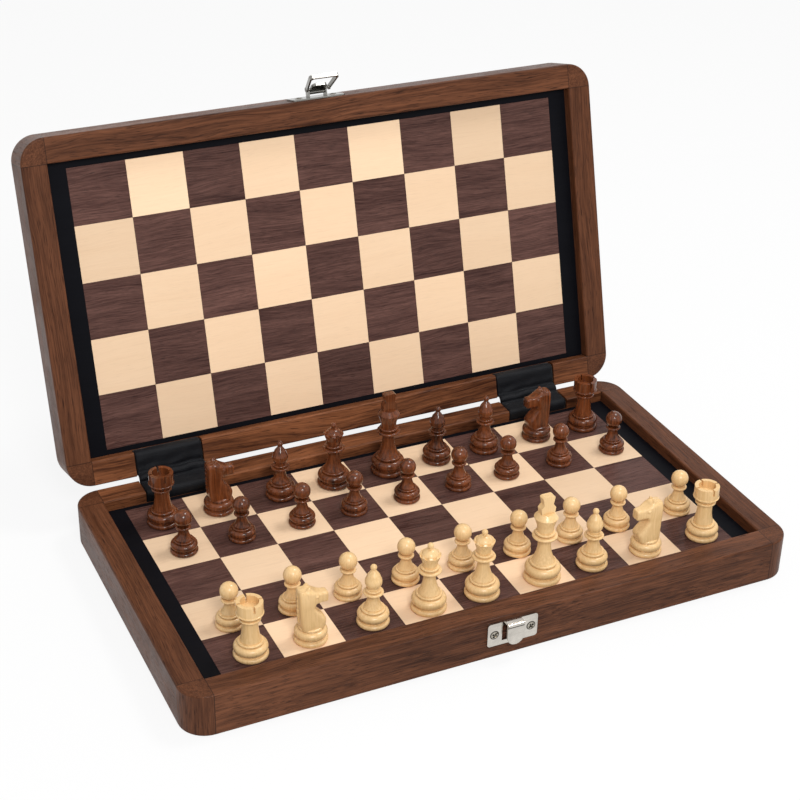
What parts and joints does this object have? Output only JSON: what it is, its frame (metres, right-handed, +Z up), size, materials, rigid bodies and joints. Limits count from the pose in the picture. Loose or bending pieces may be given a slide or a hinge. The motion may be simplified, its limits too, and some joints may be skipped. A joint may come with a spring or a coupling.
{
  "type": "folding chess box",
  "caption": "Folding wooden chess box: two shallow trays with recessed chequered boards, hinged along a long side, with cloth hinge bands, a toggle clasp and turned wooden men.",
  "frame": {"origin": "centre of the base tray's underside", "axes": "+X along the long side, to the right seen from the clasp; +Y from the clasp to the hinge; +Z up"},
  "size_m": [0.316, 0.2526, 0.209],
  "materials": {
    "walnut": "satin",
    "black_panel": "satin",
    "dark_veneer": "satin",
    "pale_veneer": "satin",
    "band_cloth": "matte",
    "hinge_steel": "satin",
    "screw_steel": "satin",
    "nickel": "satin",
    "dark_men_wood": "gloss",
    "light_men_wood": "satin"
  },
  "bodies": {
    "base": {"base_front_rail": "walnut", "base_rear_rail": "walnut", "base_side_rails": "walnut", "base_corner_blocks": "walnut", "base_board": "black_panel", "base_dark_squares": "dark_veneer", "base_light_squares": "pale_veneer", "base_hinge_leaves": "hinge_steel", "base_bands": "band_cloth", "catch_plate": "nickel", "catch_screws": "screw_steel"},
    "lid": {"lid_front_rail": "walnut", "lid_rear_rail": "walnut", "lid_side_rails": "walnut", "lid_corner_blocks": "walnut", "lid_board": "black_panel", "lid_dark_squares": "dark_veneer", "lid_light_squares": "pale_veneer", "lid_hinge_leaves": "hinge_steel", "lid_bands": "band_cloth", "hasp_plate": "nickel", "hasp_screws": "screw_steel"},
    "hasp_lever": {"hasp_lever": "nickel"},
    "hasp_loop": {"hasp_loop": "nickel"},
    "dark_rook_left": {"dark_rook_left": "dark_men_wood"},
    "dark_knight_left": {"dark_knight_left": "dark_men_wood"},
    "dark_bishop_left": {"dark_bishop_left": "dark_men_wood"},
    "dark_queen": {"dark_queen": "dark_men_wood"},
    "dark_king": {"dark_king": "dark_men_wood"},
    "dark_bishop_middle": {"dark_bishop_middle": "dark_men_wood"},
    "dark_bishop_right": {"dark_bishop_right": "dark_men_wood"},
    "dark_knight_right": {"dark_knight_right": "dark_men_wood"},
    "dark_rook_right": {"dark_rook_right": "dark_men_wood"},
    "dark_pawn_1": {"dark_pawn_1": "dark_men_wood"},
    "dark_pawn_2": {"dark_pawn_2": "dark_men_wood"},
    "dark_pawn_3": {"dark_pawn_3": "dark_men_wood"},
    "dark_pawn_4": {"dark_pawn_4": "dark_men_wood"},
    "dark_pawn_5": {"dark_pawn_5": "dark_men_wood"},
    "dark_pawn_6": {"dark_pawn_6": "dark_men_wood"},
    "dark_pawn_7": {"dark_pawn_7": "dark_men_wood"},
    "dark_pawn_8": {"dark_pawn_8": "dark_men_wood"},
    "dark_pawn_9": {"dark_pawn_9": "dark_men_wood"},
    "light_pawn_1": {"light_pawn_1": "light_men_wood"},
    "light_pawn_2": {"light_pawn_2": "light_men_wood"},
    "light_pawn_3": {"light_pawn_3": "light_men_wood"},
    "light_pawn_4": {"light_pawn_4": "light_men_wood"},
    "light_pawn_5": {"light_pawn_5": "light_men_wood"},
    "light_pawn_6": {"light_pawn_6": "light_men_wood"},
    "light_pawn_7": {"light_pawn_7": "light_men_wood"},
    "light_pawn_8": {"light_pawn_8": "light_men_wood"},
    "light_pawn_9": {"light_pawn_9": "light_men_wood"},
    "light_rook_left": {"light_rook_left": "light_men_wood"},
    "light_knight_left": {"light_knight_left": "light_men_wood"},
    "light_bishop_left": {"light_bishop_left": "light_men_wood"},
    "light_queen_left": {"light_queen_left": "light_men_wood"},
    "light_queen_right": {"light_queen_right": "light_men_wood"},
    "light_king": {"light_king": "light_men_wood"},
    "light_bishop_right": {"light_bishop_right": "light_men_wood"},
    "light_knight_right": {"light_knight_right": "light_men_wood"},
    "light_rook_right": {"light_rook_right": "light_men_wood"}
  },
  "joints": [
    {"name": "lid_hinge", "type": "hinge", "parent": "base", "child": "lid", "pos_m": [0, 0.09005, 0.022], "axis": [-1, 0, 0], "range_deg": [-58, 74.5]},
    {"name": "clasp_lever_pivot", "type": "hinge", "parent": "lid", "child": "hasp_lever", "pos_m": [0, 0.1446, 0.19626], "axis": [1, 0, 0], "range_deg": [-148, 12]},
    {"name": "clasp_loop_pivot", "type": "hinge", "parent": "hasp_lever", "child": "hasp_loop", "pos_m": [0, 0.14271, 0.19832], "axis": [1, 0, 0], "range_deg": [0, 60]},
    {"name": "lift_dark_rook_left", "type": "slide", "parent": "base", "child": "dark_rook_left", "axis": [0, 0, 1], "range_m": [0, 0.06]},
    {"name": "lift_dark_knight_left", "type": "slide", "parent": "base", "child": "dark_knight_left", "axis": [0, 0, 1], "range_m": [0, 0.06]},
    {"name": "lift_dark_bishop_left", "type": "slide", "parent": "base", "child": "dark_bishop_left", "axis": [0, 0, 1], "range_m": [0, 0.06]},
    {"name": "lift_dark_queen", "type": "slide", "parent": "base", "child": "dark_queen", "axis": [0, 0, 1], "range_m": [0, 0.06]},
    {"name": "lift_dark_king", "type": "slide", "parent": "base", "child": "dark_king", "axis": [0, 0, 1], "range_m": [0, 0.06]},
    {"name": "lift_dark_bishop_middle", "type": "slide", "parent": "base", "child": "dark_bishop_middle", "axis": [0, 0, 1], "range_m": [0, 0.06]},
    {"name": "lift_dark_bishop_right", "type": "slide", "parent": "base", "child": "dark_bishop_right", "axis": [0, 0, 1], "range_m": [0, 0.06]},
    {"name": "lift_dark_knight_right", "type": "slide", "parent": "base", "child": "dark_knight_right", "axis": [0, 0, 1], "range_m": [0, 0.06]},
    {"name": "lift_dark_rook_right", "type": "slide", "parent": "base", "child": "dark_rook_right", "axis": [0, 0, 1], "range_m": [0, 0.06]},
    {"name": "lift_dark_pawn_1", "type": "slide", "parent": "base", "child": "dark_pawn_1", "axis": [0, 0, 1], "range_m": [0, 0.06]},
    {"name": "lift_dark_pawn_2", "type": "slide", "parent": "base", "child": "dark_pawn_2", "axis": [0, 0, 1], "range_m": [0, 0.06]},
    {"name": "lift_dark_pawn_3", "type": "slide", "parent": "base", "child": "dark_pawn_3", "axis": [0, 0, 1], "range_m": [0, 0.06]},
    {"name": "lift_dark_pawn_4", "type": "slide", "parent": "base", "child": "dark_pawn_4", "axis": [0, 0, 1], "range_m": [0, 0.06]},
    {"name": "lift_dark_pawn_5", "type": "slide", "parent": "base", "child": "dark_pawn_5", "axis": [0, 0, 1], "range_m": [0, 0.06]},
    {"name": "lift_dark_pawn_6", "type": "slide", "parent": "base", "child": "dark_pawn_6", "axis": [0, 0, 1], "range_m": [0, 0.06]},
    {"name": "lift_dark_pawn_7", "type": "slide", "parent": "base", "child": "dark_pawn_7", "axis": [0, 0, 1], "range_m": [0, 0.06]},
    {"name": "lift_dark_pawn_8", "type": "slide", "parent": "base", "child": "dark_pawn_8", "axis": [0, 0, 1], "range_m": [0, 0.06]},
    {"name": "lift_dark_pawn_9", "type": "slide", "parent": "base", "child": "dark_pawn_9", "axis": [0, 0, 1], "range_m": [0, 0.06]},
    {"name": "lift_light_pawn_1", "type": "slide", "parent": "base", "child": "light_pawn_1", "axis": [0, 0, 1], "range_m": [0, 0.06]},
    {"name": "lift_light_pawn_2", "type": "slide", "parent": "base", "child": "light_pawn_2", "axis": [0, 0, 1], "range_m": [0, 0.06]},
    {"name": "lift_light_pawn_3", "type": "slide", "parent": "base", "child": "light_pawn_3", "axis": [0, 0, 1], "range_m": [0, 0.06]},
    {"name": "lift_light_pawn_4", "type": "slide", "parent": "base", "child": "light_pawn_4", "axis": [0, 0, 1], "range_m": [0, 0.06]},
    {"name": "lift_light_pawn_5", "type": "slide", "parent": "base", "child": "light_pawn_5", "axis": [0, 0, 1], "range_m": [0, 0.06]},
    {"name": "lift_light_pawn_6", "type": "slide", "parent": "base", "child": "light_pawn_6", "axis": [0, 0, 1], "range_m": [0, 0.06]},
    {"name": "lift_light_pawn_7", "type": "slide", "parent": "base", "child": "light_pawn_7", "axis": [0, 0, 1], "range_m": [0, 0.06]},
    {"name": "lift_light_pawn_8", "type": "slide", "parent": "base", "child": "light_pawn_8", "axis": [0, 0, 1], "range_m": [0, 0.06]},
    {"name": "lift_light_pawn_9", "type": "slide", "parent": "base", "child": "light_pawn_9", "axis": [0, 0, 1], "range_m": [0, 0.06]},
    {"name": "lift_light_rook_left", "type": "slide", "parent": "base", "child": "light_rook_left", "axis": [0, 0, 1], "range_m": [0, 0.06]},
    {"name": "lift_light_knight_left", "type": "slide", "parent": "base", "child": "light_knight_left", "axis": [0, 0, 1], "range_m": [0, 0.06]},
    {"name": "lift_light_bishop_left", "type": "slide", "parent": "base", "child": "light_bishop_left", "axis": [0, 0, 1], "range_m": [0, 0.06]},
    {"name": "lift_light_queen_left", "type": "slide", "parent": "base", "child": "light_queen_left", "axis": [0, 0, 1], "range_m": [0, 0.06]},
    {"name": "lift_light_queen_right", "type": "slide", "parent": "base", "child": "light_queen_right", "axis": [0, 0, 1], "range_m": [0, 0.06]},
    {"name": "lift_light_king", "type": "slide", "parent": "base", "child": "light_king", "axis": [0, 0, 1], "range_m": [0, 0.06]},
    {"name": "lift_light_bishop_right", "type": "slide", "parent": "base", "child": "light_bishop_right", "axis": [0, 0, 1], "range_m": [0, 0.06]},
    {"name": "lift_light_knight_right", "type": "slide", "parent": "base", "child": "light_knight_right", "axis": [0, 0, 1], "range_m": [0, 0.06]},
    {"name": "lift_light_rook_right", "type": "slide", "parent": "base", "child": "light_rook_right", "axis": [0, 0, 1], "range_m": [0, 0.06]}
  ]
}
